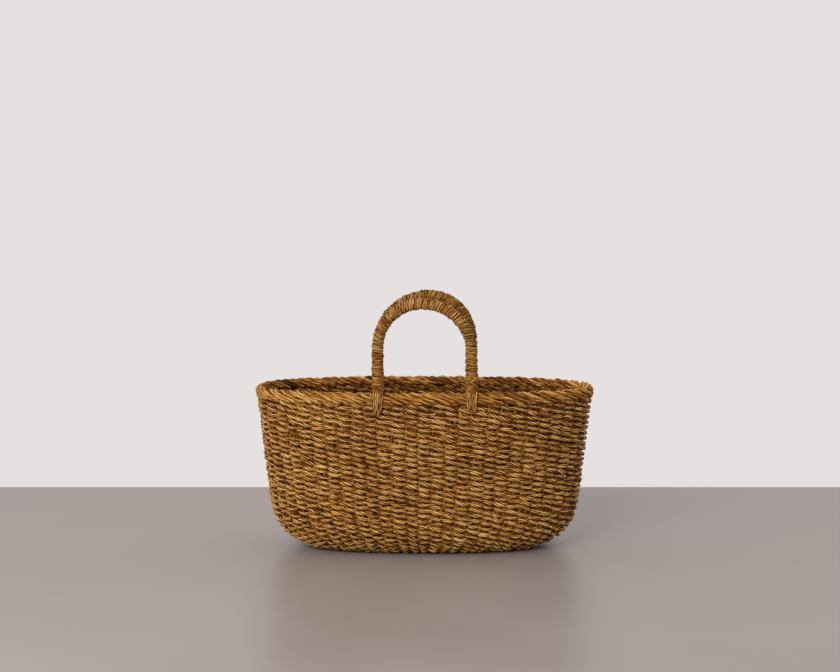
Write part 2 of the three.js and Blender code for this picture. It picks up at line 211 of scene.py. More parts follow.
class Strands:
    """Collects swept strands, and makes one mesh object of them in the end."""

    def __init__(self):
        self.points = []
        self.faces = []
        self.grain = []
        self.tone = []
        self.count = 0

    def add(self, line, side, thick, half_side, half_thick, tone,
            lay=-40 * MM, lobes=5, relief=0.16, around=15, groove=0.13, crown=0.3, shaded=0,
            wobble=0, capped=False):
        """Sweeps a lobed section down a line. side and thick are its two directions, and lay is
        the length in which its fibres turn once round it. groove paints shade into the hollows
        between its lobes, crown paints shade on the two edges where it lies against its neighbours
        and light on its crown, and shaded paints shade on its inner half. wobble turns the fibres
        more or less than lay does."""
        n = len(line)
        half_side = np.broadcast_to(half_side, n)
        half_thick = np.broadcast_to(half_thick, n)
        tone = np.broadcast_to(tone, n)
        gone = np.concatenate([[0], np.cumsum(np.linalg.norm(np.diff(line, axis=0), axis=1))])
        turns = max(round(gone[-1] / abs(lay)), 1) * np.sign(lay)
        twist = gone / gone[-1] * turns * TAU + wobble
        v = np.arange(around) * TAU / around
        fibre = v[None, :] + twist[:, None] + rng.uniform(0, TAU)
        swell = 1 + relief * np.cos(lobes * fibre)
        a = (half_side[:, None] * np.cos(v) * swell)[..., None] * side[:, None, :]
        b = (half_thick[:, None] * np.sin(v) * swell)[..., None] * thick[:, None, :]
        self.points.append((line[:, None, :] + a + b).reshape(-1, 3))
        start = rng.uniform(0, GRAIN_STARTS)
        along = np.broadcast_to((gone / GRAIN_STEP + start)[:, None], fibre.shape)
        self.grain.append(np.stack([along, np.cos(fibre), np.sin(fibre)], -1).reshape(-1, 3))
        # Painted shade in the hollows between the lobes, on the edges against the neighbours and on
        # the inner half, and painted light on the crown.
        shade = groove * np.cos(lobes * fibre) + crown * (np.abs(np.sin(v)) - CROWN_EDGE)
        shade = shade - shaded * (np.sin(v) < 0)
        self.tone.append((tone[:, None] + shade).ravel())
        here = self.count + np.arange((n - 1) * around).reshape(n - 1, around)
        after = np.roll(here, -1, axis=1)
        skin = np.stack([here, after, after + around, here + around], -1)
        self.faces.append(skin.reshape(-1, 4))
        if capped:
            self.cap(0, around, -1)
            self.cap(n - 1, around, 1)
        self.count += n * around

    def cap(self, section, around, order):
        """Closes one end of the strand that is being added with a fan of four-sided faces."""
        ring = self.count + section * around + np.arange(around)[::order]
        fan = [[ring[0], ring[k], ring[k + 1], ring[k + 2]] for k in range(1, around - 2, 2)]
        self.faces.append(np.array(fan))

    def build(self, name, material):
        """One object of all the strands, with their grain and tone as point attributes."""
        mesh = bpy.data.meshes.new(name)
        points = np.concatenate(self.points)
        faces = np.concatenate(self.faces)
        starts = np.arange(0, faces.size, faces.shape[1], dtype=np.int32)
        mesh.vertices.add(len(points))
        mesh.vertices.foreach_set("co", points.ravel())
        mesh.loops.add(faces.size)
        mesh.loops.foreach_set("vertex_index", faces.ravel().astype(np.int32))
        mesh.polygons.add(len(faces))
        mesh.polygons.foreach_set("loop_start", starts)
        mesh.polygons.foreach_set("use_smooth", np.ones(len(faces), dtype=bool))
        mesh.update(calc_edges=True)
        grain = mesh.attributes.new("grain", "FLOAT_VECTOR", "POINT")
        grain.data.foreach_set("vector", np.concatenate(self.grain).ravel())
        tone = mesh.attributes.new("tone", "FLOAT", "POINT")
        tone.data.foreach_set("value", np.concatenate(self.tone))
        mesh.materials.append(material)
        piece = bpy.data.objects.new(name, mesh)
        bpy.context.scene.collection.objects.link(piece)
        return piece


def show(piece, body, slot, *nodes):
    """Makes a piece ride on a body and stand for these CAD nodes. slot is not used."""
    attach(piece, body)
    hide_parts(*nodes)


# ---- Materials -----------------------------------------------------------------------------------
def srgb(*values):
    """A colour from its three screen values, 0 to 255, along the sRGB curve."""
    linear = [((v / 255 + 0.055) / 1.055) ** 2.4 if v > 10 else v / 255 / 12.92 for v in values]
    return (*linear, 1)


BLACK = (0, 0, 0, 1)
WHITE = (1, 1, 1, 1)
SEAGRASS_SHADES = [  # from the deepest hollow to the driest, palest leaf
    (0.0, srgb(36, 11, 0)),
    (0.25, srgb(102, 51, 4)),
    (0.5, srgb(166, 103, 24)),
    (0.75, srgb(210, 153, 66)),
    (1.0, srgb(242, 204, 132)),
]
RUST_TINT = (1.0, 0.74, 0.5, 1)
RUST_SHARE = 0.55  # how much of the tint a fully rusty stretch has
RUST_STOPS = [(0.52, BLACK), (0.72, WHITE)]  # where the noise turns a stretch of leaf rusty
CANE_SHADES = [(0.3, srgb(150, 118, 70)), (0.7, srgb(205, 176, 120))]


class Nodes:
    """A short way to add shader nodes and wire them."""

    def __init__(self, name):
        self.material = bpy.data.materials.new(name)
        self.material.use_nodes = True
        self.tree = self.material.node_tree
        self.shader = self.tree.nodes["Principled BSDF"]

    def add(self, kind, **settings):
        node = self.tree.nodes.new(kind)
        for key, value in settings.items():
            setattr(node, key, value)
        return node

    def link(self, source, target):
        self.tree.links.new(source, target)

    def math(self, operation, first, second):
        node = self.add("ShaderNodeMath", operation=operation)
        for socket, value in zip(node.inputs, (first, second)):
            if isinstance(value, (int, float)):
                socket.default_value = value
            else:
                self.link(value, socket)
        return node.outputs[0]

    def scaled(self, value, amount, start=0.0):
        """A value times an amount, added to a start."""
        return self.math("ADD", start, self.math("MULTIPLY", value, amount))

    def about_zero(self, noise, amount):
        """Noise that is as often below nothing as above it, times an amount."""
        return self.math("MULTIPLY", self.math("SUBTRACT", noise, 0.5), amount)

    def ramp(self, value, stops):
        node = self.add("ShaderNodeValToRGB")
        ramp = node.color_ramp
        while len(ramp.elements) < len(stops):
            ramp.elements.new(0.5)
        for element, (place, colour) in zip(ramp.elements, stops):
            element.position = place
            element.color = colour
        self.link(value, node.inputs[0])
        return node.outputs[0]

    def noise(self, vector, scale, detail):
        node = self.add("ShaderNodeTexNoise")
        node.inputs["Scale"].default_value = scale
        node.inputs["Detail"].default_value = detail
        self.link(vector, node.inputs["Vector"])
        return node.outputs["Fac"]


def seagrass(name, brightness):
    """Dry seagrass: streaked along its fibres, with rusty stretches, and lighter or darker where
    a strand's own tone says so."""
    n = Nodes(name)
    grain = n.add("ShaderNodeAttribute", attribute_name="grain").outputs["Vector"]
    tone = n.add("ShaderNodeAttribute", attribute_name="tone").outputs["Fac"]
    place = n.add("ShaderNodeTexCoord").outputs["Object"]
    streaks = n.noise(grain, scale=2.6, detail=4.0)
    fibres = n.noise(grain, scale=8.0, detail=3.0)
    patches = n.noise(place, scale=14.0, detail=2.0)
    broad = n.math("ADD", tone, n.about_zero(streaks, 2.0))
    fine = n.math("ADD", n.about_zero(fibres, 1.3), n.about_zero(patches, 0.35))
    value = n.math("ADD", broad, fine)
    stops = [(p, (*(c * brightness for c in colour[:3]), 1)) for p, colour in SEAGRASS_SHADES]
    colour = n.ramp(value, stops)
    rust = n.ramp(n.noise(grain, scale=0.7, detail=2.0), RUST_STOPS)
    mix = n.add("ShaderNodeMix", data_type="RGBA", blend_type="MULTIPLY")
    n.link(n.math("MULTIPLY", rust, RUST_SHARE), mix.inputs["Factor"])
    n.link(colour, mix.inputs["A"])
    mix.inputs["B"].default_value = RUST_TINT
    n.link(mix.outputs["Result"], n.shader.inputs["Base Color"])
    n.link(n.scaled(fibres, 0.35, start=0.45), n.shader.inputs["Roughness"])
    n.shader.inputs["Specular IOR Level"].default_value = 0.22
    bump = n.add("ShaderNodeBump")
    bump.inputs["Strength"].default_value = 0.7
    bump.inputs["Distance"].default_value = 0.5 * MM
    n.link(n.math("ADD", fibres, streaks), bump.inputs["Height"])
    n.link(bump.outputs["Normal"], n.shader.inputs["Normal"])
    return n.material


def cane():
    """Smooth split cane, faintly streaked."""
    n = Nodes("cane")
    place = n.add("ShaderNodeTexCoord").outputs["Object"]
    streaks = n.noise(place, scale=240.0, detail=3.0)
    n.link(n.ramp(streaks, CANE_SHADES), n.shader.inputs["Base Color"])
    n.link(n.scaled(streaks, 0.3, start=0.4), n.shader.inputs["Roughness"])
    return n.material


WEFT = seagrass("weft_seagrass", 1.0)
ROPE = seagrass("rope_seagrass", 0.95)
WINDING = seagrass("winding_seagrass", 0.74)
CORD = seagrass("cord_seagrass", 0.86)
STAKE = seagrass("stake_seagrass", 0.8)
CANE = cane()

# ---- Rows of weft --------------------------------------------------------------------------------
STEPS = 8  # sections between one stake and the next
RING = np.linspace(0, STAKES, STAKES * STEPS + 1)
STAKE_DRIFT_SPREAD = 0.08
STAKE_DRIFT = wander(RING, STAKE_DRIFT_SPREAD, STAKES)  # how far each one is off its even place
ROWS = 65
ROW_PITCH = SIDE.total / ROWS
ROW_LAY = 38 * MM  # the length in which a weft strand's plies turn once round it
ROW_HALF_SIDE = 0.51  # half a weft strand's height where it changes sides, in row pitches
ROW_HALF_THICK = 1.5 * MM
ROW_SWELL_SIDE = 0.1  # how much higher it is where it passes a stake, in row pitches
ROW_SWELL_THICK = 0.2 * MM
ROW_PLUMPNESS = 0.14  # spread of the strand's thickness
ROW_DEPTH = 2.9 * MM  # how far in front of the stakes, or behind them, a strand passes
ROW_DEPTH_SPREAD = 0.28 * MM
ROW_FLATNESS = 0.25  # how much flatter than a plain wave it passes a stake
ROW_PHASE_SPREAD = 0.36  # of where it changes sides, as an angle of its wave
ROW_HEIGHT_SPREAD = 0.12  # of the row's own height, in row pitches
STITCH_SLANT = 0.8 * MM  # how far a strand goes up and down where it changes sides
TOP_STITCH_SLANT = 0.5 * MM  # and how much more it does in the last rows under the rim
STITCH_SLANT_SPREAD = 0.55 * MM
STITCH_TONE_SPREAD = 0.065
STITCH_TONE_RANGE = (0.08, 0.95)
PALE_STITCHES = 0.02  # the share of stitches that are clearly paler
PALE_STEP = 0.2
ROW_TONE = 0.56
CROSSING_SHADE = 0.2  # painted shade: how much darker a strand is where it changes sides and lies deep between the stakes
ROW_FIBRE_WOBBLE = 1.3  # spread of how far round the strand its fibres lie
FLOOR_SHARE = 1.2  # the lowest rows keep this many half thicknesses above the floor

WALL_BANDS = 5
LOWER_BAND_SHARES = (0.2, 0.56, 1)  # of the way up to the level rows, where each band ends


def stitch_tones(middle):
    """A tone for every stitch, changing where the strand is hidden between two stakes."""
    values = np.clip(rng.normal(middle, STITCH_TONE_SPREAD, STAKES), *STITCH_TONE_RANGE)
    pale = rng.random(STAKES) < PALE_STITCHES
    values[pale] += PALE_STEP
    near = np.round(RING).astype(int) % STAKES
    return values[near]


def add_row(strands, length, number):
    """One row of weft round the basket, in front of one stake and behind the next."""
    phase = math.pi * (RING + number) + wander(RING, ROW_PHASE_SPREAD, STAKES)
    wave = np.cos(phase)
    held = np.abs(wave)  # 1 where the strand passes a stake, 0 where it changes sides
    swing = wave * (1 + ROW_FLATNESS - ROW_FLATNESS * wave ** 2)
    unevenness = wander(RING / 2, ROW_HEIGHT_SPREAD, STAKES // 2) * ROW_PITCH
    lengths = np.clip(length + unevenness, 0, SIDE.total)
    centre, _, rise, outward = wall_frame(angle_of(RING + STAKE_DRIFT), lengths)
    depth = swing * (ROW_DEPTH + wander(RING, ROW_DEPTH_SPREAD, STAKES))
    slant = STITCH_SLANT + TOP_STITCH_SLANT * (length / SIDE.total) ** 8
    lift = -np.sin(phase) * (slant + wander(RING, STITCH_SLANT_SPREAD, STAKES))
    line = centre + outward * depth[:, None] + rise * lift[:, None]
    plump = 1 + wander(RING, ROW_PLUMPNESS, STAKES)
    half_side = (ROW_HALF_SIDE + ROW_SWELL_SIDE * held) * ROW_PITCH * plump
    half_thick = (ROW_HALF_THICK + ROW_SWELL_THICK * held) * plump
    # Painted shade where the strand changes sides between the stakes.
    tone = stitch_tones(ROW_TONE) - CROSSING_SHADE * (1 - held) ** 2
    line[:, 2] = np.maximum(line[:, 2], FLOOR_SHARE * half_thick)
    wobble = wander(RING, ROW_FIBRE_WOBBLE, STAKES)
    # The weft's tone also gets painted shade in its hollows, at its edges and on its inner half,
    # with painted light on its crown.
    strands.add(line, rise, outward, half_side, half_thick, tone, lay=-ROW_LAY, lobes=4,
                relief=0.22, groove=0.44, shaded=0.3, wobble=wobble, around=16)


def weave_wall():
    """Rows from the edge of the base mat up to the rim, each in the CAD band that it lies in."""
    wall_band = (SIDE.total - SIDE_LEVEL) / WALL_BANDS
    tops = [SIDE_LEVEL * share for share in LOWER_BAND_SHARES]
    tops += [SIDE_LEVEL + wall_band * (i + 1) for i in range(WALL_BANDS)]
    nodes = ["base_weft_band", "lower_corner_weft_band", "upper_corner_weft_band"]
    nodes += [f"wall_weft_band_{i}" for i in range(1, WALL_BANDS)] + ["rim_waling_band"]
    bands = {node: Strands() for node in nodes}
    for number in range(ROWS):
        length = (number + 0.5) * ROW_PITCH
        node = nodes[int(np.searchsorted(tops, length))]
        add_row(bands[node], length, number)
    for node, strands in bands.items():
        piece = strands.build(node.replace("band", "rows"), WEFT)
        show(piece, "basket", "seagrass", node)


# ---- The rolled rim ------------------------------------------------------------------------------
RIM_STRANDS = 90
RIM_PLACE_SPREAD = 0.05  # of each strand's place round the rim, in stakes
RIM_ADVANCE = 3.5  # how many stakes a strand moves on by, from its one end to the other
RIM_CROSSING = 0.45  # the share of its length at which a strand crosses the top
RIM_STEPS = 48
RIM_WAVES = 6  # changes of course along one strand
RIM_KNOTS = RIM_WAVES + 3
RIM_INSIDE = 4.4 * MM  # how far inside the wall's middle a strand starts
RIM_OUTSIDE = 4.2 * MM  # and how far outside it comes down
RIM_OUTSIDE_HASTE = 3.2  # how early on its way down it is that far out
RIM_TUCK = 1.6 * MM  # how far its lower end is drawn in again
RIM_ROUND = 5.5 * MM  # half the thickness of the whole roll
RIM_CREST = 1.5 * MM  # from the top of the roll to the middle of a strand
RIM_INNER_DROP = 9 * MM
RIM_OUTER_DROP = 13 * MM
RIM_LAY = 60 * MM
RIM_HALF_SIDE = 2.1 * MM
RIM_HALF_DEEP = 2 * MM
RIM_END = 0.35  # thickness of a strand's ends, as a share of the rest
RIM_TAPER = 12  # how quickly the ends grow to full thickness
RIM_DEPTH_SPREAD = 0.05
RIM_HEIGHT_SPREAD = 0.3 * MM
RIM_PLUMPNESS = 0.08
RIM_TONE = 0.54
RIM_TONE_SPREAD = 0.1
RIM_TONE_RANGE = (0.2, 0.9)
RIM_END_SHADE = 0.15  # how much darker a strand is at its ends
RIM_INNER_SHADE = 0.2  # and, as painted shade, at its start inside the basket


def rim_core(strands, centre, along):
    """Two thick strands laid round each other inside the rim."""
    core_height = 3.5 * MM
    core_half_high = 3 * MM
    core_half_wide = 1.2 * MM
    half_side = 3.4 * MM
    half_thick = 2.3 * MM
    tone = 0.4
    stakes_per_turn = 3
    up = everywhere(UP, centre)
    level = unit(np.cross(along, up))
    middle = np.column_stack([centre[:, :2], np.full(len(RING), RIM_LOW[2] + core_height)])
    for strand in range(2):
        turn = TAU * (RING / stakes_per_turn + strand / 2)
        line = middle + level * (core_half_wide * np.cos(turn))[:, None]
        line = line - up * (core_half_high * np.sin(turn))[:, None]
        strands.add(line, up, level, half_side, half_thick, stitch_tones(tone), around=12)


def rim_path(place, share, before, after):
    """A rim strand's line, with the way out from the middle of the roll. before and after are
    how far it has come on its way up to the top, and on its way down from there."""
    drift = wander(share * (RIM_WAVES - 1), RIM_PLACE_SPREAD, RIM_KNOTS - 1)
    places = place + share * RIM_ADVANCE + drift
    inside = RIM_INSIDE * np.cos(before * math.pi / 2)
    outside = RIM_OUTSIDE * np.sin(np.clip(after * RIM_OUTSIDE_HASTE, 0, 1) * math.pi / 2)
    outside = outside - RIM_TUCK * after ** 4
    scatter = wander(share * RIM_WAVES, RIM_DEPTH_SPREAD, RIM_KNOTS)
    depth = (outside - inside) * (1 + scatter)
    drop = RIM_INNER_DROP * (1 - before) ** 1.2 + RIM_OUTER_DROP * after ** 1.1
    unevenness = wander(share * RIM_WAVES, RIM_HEIGHT_SPREAD, RIM_KNOTS)
    height = RIM_TOP - RIM_CREST - drop + unevenness
    edge, along, _, _ = wall_frame(angle_of(places), np.full(RIM_STEPS, SIDE.total))
    up = everywhere(UP, edge)
    level = unit(np.cross(along, up))
    out = depth - wall_shift(height)
    line = np.column_stack([edge[:, :2], height]) + level * out[:, None]
    roll = depth / RIM_ROUND * math.pi / 2
    return line, unit(level * np.sin(roll)[:, None] + up * np.cos(roll)[:, None])


def rim_strand(strands, place):
    """One strand of the rolled rim: up inside, over the top, then slanting down outside."""
    share = np.linspace(0, 1, RIM_STEPS)
    before = np.clip(share / RIM_CROSSING, 0, 1)
    after = np.clip((share - RIM_CROSSING) / (1 - RIM_CROSSING), 0, 1)
    line, facing = rim_path(place, share, before, after)
    travel = unit(np.gradient(line, axis=0))
    side = unit(np.cross(travel, facing))
    thick = np.cross(side, travel)
    end = np.minimum(1, np.minimum(share, 1 - share) * RIM_TAPER + RIM_END)
    plump = end * (1 + wander(share * RIM_WAVES, RIM_PLUMPNESS, RIM_KNOTS))
    tone = np.clip(rng.normal(RIM_TONE, RIM_TONE_SPREAD), *RIM_TONE_RANGE)
    # Darker at its ends, and painted shade where it runs inside the basket.
    tone = tone - RIM_END_SHADE * (1 - end) - RIM_INNER_SHADE * (1 - before)
    strands.add(line, side, thick, RIM_HALF_SIDE * plump, RIM_HALF_DEEP * plump, tone,
                lay=-RIM_LAY, lobes=3, relief=0.2, around=12, capped=True)


def roll_rim():
    """The rope ring that closes the top of the weave."""
    strands = Strands()
    centre, along, _, _ = wall_frame(angle_of(RING), np.full_like(RING, SIDE.total))
    rim_core(strands, centre, along)
    for number in range(RIM_STRANDS):
        start = number * STAKES / RIM_STRANDS
        rim_strand(strands, start + rng.normal(0, RIM_PLACE_SPREAD))
    show(strands.build("rolled_rim", ROPE), "basket", "rim_rope", "rim_edge")


# ---- Stakes and the base mat ---------------------------------------------------------------------
CROSS_REACH = 7  # stakes each side of the middle one that cross the base
LONG_PLACES = (-4, -2, 0, 2, 4)  # places at each end that long stakes come up at
LONG_RUN = 30 * MM  # the length over which a long stake rises onto the cross stakes
LONG_NARROWING = 0.8  # long stakes lie this much closer together over the mat
LONG_STEPS = 12
LONG_HALF_WIDTH = 1.9 * MM
LONG_HEIGHT = BASE_MIDDLE + 2 * LONG_HALF_WIDTH
STAKE_STEPS = 48
STAKE_FILL = 1.2  # half a stake's width, in half distances between two stakes
STAKE_HALF_THICK = 0.5 * MM
STAKE_TONE = 0.25
STAKE_LAY = 900 * MM  # so long that its leaves lie straight


def rising_line(place):
    """One stake's middle line from the base mat up to the rim, its directions and half width."""
    lengths = np.linspace(0, SIDE.total, STAKE_STEPS)
    place = place + STAKE_DRIFT[place % STAKES * STEPS]
    centre, along, _, outward = wall_frame(angle_of(np.full_like(lengths, place)), lengths)
    between = wall_frame(angle_of(np.full_like(lengths, place + 0.5)), lengths)[0]
    half_width = STAKE_FILL * np.linalg.norm(between - centre, axis=1)
    return centre, along, outward, half_width


def falling_line(place):
    """The same from the rim down to the base mat."""
    line, side, thick, half_width = (part[::-1] for part in rising_line(place))
    return line, -side, thick, half_width


def crossing_line(foot):
    """A long stake's run over the mat, to the foot of its rising line."""
    reach = foot[0] - LONG_RUN
    xs = np.linspace(-reach, reach, LONG_STEPS)
    line = np.column_stack([
        xs,
        np.full_like(xs, foot[1] * LONG_NARROWING),
        np.full_like(xs, LONG_HEIGHT),
    ])
    half_width = np.full(LONG_STEPS, LONG_HALF_WIDTH)
    return line, everywhere(BACK, line), everywhere(DOWN, line), half_width


def add_stake(strands, parts):
    """One flat bundle of leaves along lines that are joined end to end."""
    line, side, thick, half_width = (np.concatenate([p[i] for p in parts]) for i in range(4))
    strands.add(line, side, thick, half_width, STAKE_HALF_THICK, STAKE_TONE,
                lay=STAKE_LAY, relief=0, groove=0, crown=0, around=8, capped=True)


def stake_names(kind):
    """The names of the CAD stakes of one kind."""
    return sorted(n for n in frame["nodes"] if kind in n)


def make_stakes():
    """All the stakes, as flat bundles of leaves that fill the width between two stakes."""
    cross = Strands()
    long = Strands()
    ends = Strands()
    quarter = STAKES // 4
    for k in range(-CROSS_REACH, CROSS_REACH + 1):
        add_stake(cross, [falling_line(3 * quarter - k), rising_line(quarter + k)])
    for place in LONG_PLACES:
        fall = falling_line(2 * quarter - place)
        rise = rising_line(place)
        add_stake(long, [fall, crossing_line(rise[0][0]), rise])
    for middle in (0, 2 * quarter):
        for k in range(-CROSS_REACH, CROSS_REACH + 1):
            if k not in LONG_PLACES:
                add_stake(ends, [rising_line(middle + k)])
    show(cross.build("cross_stakes", STAKE), "basket", "stake", *stake_names("cross_stake"))
    show(long.build("long_stakes", STAKE), "basket", "stake", *stake_names("long_stake"))
    show(ends.build("end_stakes", STAKE), "basket", "stake", *stake_names("end_stake"))


def weave_mat():
    """Close oval rows from the middle of the base out to the edge of the mat."""
    pitch = 3.6 * MM
    cell = 17 * MM  # from one crossing of a row to the next
    depth = 2.7 * MM
    half_thick = 1.5 * MM
    middle_tone = 0.45
    tone_spread = 0.13
    strands = Strands()
    straight = MAT_HALF[0] - MAT_HALF[1]
    for row in range(int(MAT_HALF[1] / pitch)):
        width = MAT_HALF[1] - (row + 0.5) * pitch
        circuit = 4 * straight + TAU * width
        cells = 2 * round(circuit / 2 / cell)
        places = np.linspace(0, cells, cells * STEPS + 1)
        angles = places / cells * TAU
        line = np.column_stack([
            (straight + width) * oval(np.cos(angles)),
            width * oval(np.sin(angles)),
            np.full_like(angles, BASE_MIDDLE),
        ])
        along = unit(np.gradient(line, axis=0))
        down = everywhere(DOWN, line)
        across = np.cross(along, down)
        swing = np.cos(math.pi * (places + row))
        line = line + down * (swing * depth)[:, None]
        tone = np.clip(middle_tone + wander(places, tone_spread, cells), 0, 1)
        half_side = (0.45 + 0.3 * np.abs(swing)) * pitch
        strands.add(line, across, down, half_side, half_thick, tone, around=10)
    show(strands.build("base_mat_rows", WEFT), "basket", "seagrass", "base_mat")


# ---- Handles and lashings ------------------------------------------------------------------------
class Handle:
    """Where one handle's feet, legs and arch are, read from its CAD wrap and its joint."""

    def __init__(self, side):
        self.side = side
        low, high = corners(f"{side}_handle_wrap")
        joint = next(j for j in frame["joints"] if j["name"] == f"{side}_handle_hinge")
        self.pivot = np.array(joint["pos_m"])
        self.radius = (high[1] - low[1]) / 2
        self.span = min(high[0], -low[0]) - self.radius
        self.foot = low[2]
        self.arch_foot = high[2] - self.radius - self.span
        self.lean = ARCH_LEAN[side]
        self.out = math.copysign(1, self.pivot[1])

    def line(self, gone):
        """The middle of the handle, this far along it from its left foot, with its tangent."""
        leg = self.arch_foot - self.foot
        arch = math.pi * self.span
        turn = np.clip((gone - leg) / self.span, 0, math.pi)
        late = np.maximum(gone - leg - arch, 0)
        z = self.arch_foot + self.span * np.sin(turn) - np.maximum(leg - gone, 0) - late
        height = self.arch_foot + self.span - self.pivot[2]
        risen = (z - self.pivot[2]) / height
        x = -self.span * np.cos(turn) + self.lean * risen ** 2
        rise = np.where(gone > leg + arch, -1, np.cos(turn))
        aside = np.sin(turn) + 2 * self.lean * risen / height * rise
        tangent = unit(np.column_stack([aside, np.zeros_like(turn), rise]))
        return np.column_stack([x, np.full_like(x, self.pivot[1]), z]), tangent

    def length(self):
        return 2 * (self.arch_foot - self.foot) + math.pi * self.span

    def above_foot(self, end, heights):
        """Points over the left foot, -1, or the right one, 1, at these heights."""
        return np.column_stack([
            np.full_like(heights, end * self.span),
            np.full_like(heights, self.pivot[1]),
            heights,
        ])


def wound(strands, centre, tangent, turn, radius, half_side, half_thick, tone):
    """A strand wound round a line: at each point it is this far out, at this angle."""
    depth_axis = everywhere(BACK, centre)
    flat_axis = np.cross(depth_axis, tangent)
    radial = flat_axis * np.cos(turn)[:, None] + depth_axis * np.sin(turn)[:, None]
    line = centre + radial * np.broadcast_to(radius, len(turn))[:, None]
    travel = unit(np.gradient(line, axis=0))
    side = unit(np.cross(travel, radial))
    # Painted shade in the hollows and on the edges of each cord, and painted light on its crown.
    strands.add(line, side, radial, half_side, half_thick, tone, lobes=3, groove=0.12, crown=0.45,
                around=10)


WINDING_STARTS = 3  # strands that are wound side by side
WINDING_PITCH = 3.2 * MM
WINDING_HALF = 1.45 * MM
WINDING_SWELL = 1.1  # how much thicker a strand is than the layer it lies in
WINDING_PROUD = 0.3 * MM  # how far out past the CAD wrap the winding lies
WINDING_FILL = 0.53  # half a strand's width, in pitches
WINDING_STEPS = 16  # sections in one turn
WINDING_TONE = {"front": 0.56, "back": 0.44}  # painted shade: the back handle, which stands behind the front one, is darker
WINDING_TONE_SPREAD = 0.11
WINDING_RIGHT_SHADE = 0.12  # painted shade: how much darker a handle is at its right foot, on the side away from the light
WINDING_SLIDE = 0.5 * MM  # spread of each strand's place along the handle
WINDING_RADIUS_SPREAD = 0.3 * MM
WINDING_PLUMPNESS = 0.14


def wrap_handle(handle):
    """Three strands wound close together from foot to foot."""
    strands = Strands()
    whole = handle.length()
    turns = round(whole / (WINDING_PITCH * WINDING_STARTS))
    count = np.arange(turns * WINDING_STEPS + 1) / WINDING_STEPS
    # The winding's place and tone change three times a turn, its thickness a little less often.
    for start in range(WINDING_STARTS):
        gone = (count + start / WINDING_STARTS) / turns * whole
        slide = wander(count * 3, WINDING_SLIDE, 3 * turns + 3)
        gone = np.clip(gone + slide, 0, whole)
        centre, tangent = handle.line(gone)
        radius = handle.radius - WINDING_HALF + WINDING_PROUD
        radius = radius + wander(count * 2.5, WINDING_RADIUS_SPREAD, 3 * turns)
        plump = 1 + wander(count * 2, WINDING_PLUMPNESS, 2 * turns + 2)
        # Painted shade on the back handle and towards each handle's right foot.
        tone = WINDING_TONE[handle.side] - WINDING_RIGHT_SHADE * (gone / whole) ** 4
        tone = tone + wander(count * 3, WINDING_TONE_SPREAD, 3 * turns + 3)
        half_side = WINDING_FILL * WINDING_PITCH * plump
        half_thick = WINDING_SWELL * WINDING_HALF * plump
        wound(strands, centre, tangent, -count * TAU, radius, half_side, half_thick, tone)
    piece = strands.build(f"{handle.side}_handle_winding", WINDING)
    show(piece, f"{handle.side}_handle", "handle_wrap", f"{handle.side}_handle_wrap")


BINDING_CORDS = 7  # that go criss-cross round each foot
BINDING_RINGS = 3  # level turns below them
BINDING_STEPS = 40
BINDING_TURNS = 0.95  # how far round the foot one cord goes
BINDING_WAVES = 6  # changes of a cord's distance from the leg
BINDING_TONE = 0.36
BINDING_TONE_SPREAD = 0.14
BINDING_TONE_WAVES = 4
BINDING_LOW = RIM_TOP - 1 * MM
BINDING_ABOVE_FOOT = 15 * MM
BINDING_HALF_SIDE = 1.5 * MM
BINDING_HALF_THICK = 1.1 * MM
BINDING_DEPTH = 0.6 * MM  # from the leg's surface in to the middle of the cords
BINDING_DEPTH_SPREAD = 0.3 * MM
BINDING_LAYER = 0.3 * MM  # how far cords of one way lie over, and of the other way under
RING_DEPTH = 0.9 * MM
RING_HALF_THICK = 1.2 * MM
RING_LOW = RIM_TOP + 2.2 * MM
RING_PITCH = 2.6 * MM
RING_SLOPE = 1.5 * MM


def criss_cross(strands, handle, end):
    """Cords round one foot, every second one the other way round."""
    share = np.linspace(0, 1, BINDING_STEPS)
    high = handle.foot + BINDING_ABOVE_FOOT
    centre = handle.above_foot(end, BINDING_LOW + (high - BINDING_LOW) * share)
    for number in range(BINDING_CORDS):
        way = 1 if number % 2 else -1
        turn = way * share * TAU * BINDING_TURNS + number * TAU / BINDING_CORDS
        unevenness = wander(share * BINDING_WAVES, BINDING_DEPTH_SPREAD, BINDING_WAVES + 2)
        radius = handle.radius - BINDING_DEPTH + unevenness + BINDING_LAYER * way
        fade = wander(share * BINDING_TONE_WAVES, BINDING_TONE_SPREAD, BINDING_TONE_WAVES + 2)
        tone = np.clip(BINDING_TONE + fade, 0.1, 1)
        wound(strands, centre, everywhere(UP, centre), turn, radius,
              BINDING_HALF_SIDE, BINDING_HALF_THICK, tone)


def level_rings(strands, handle, end):
    """Nearly level turns of cord just above the rim."""
    share = np.linspace(0, 1, BINDING_STEPS)
    radius = handle.radius - RING_DEPTH
    for ring in range(BINDING_RINGS):
        centre = handle.above_foot(end, RING_LOW + RING_PITCH * ring + share * RING_SLOPE)
        wound(strands, centre, everywhere(UP, centre), share * TAU + ring, radius,
              BINDING_HALF_SIDE, RING_HALF_THICK, BINDING_TONE)


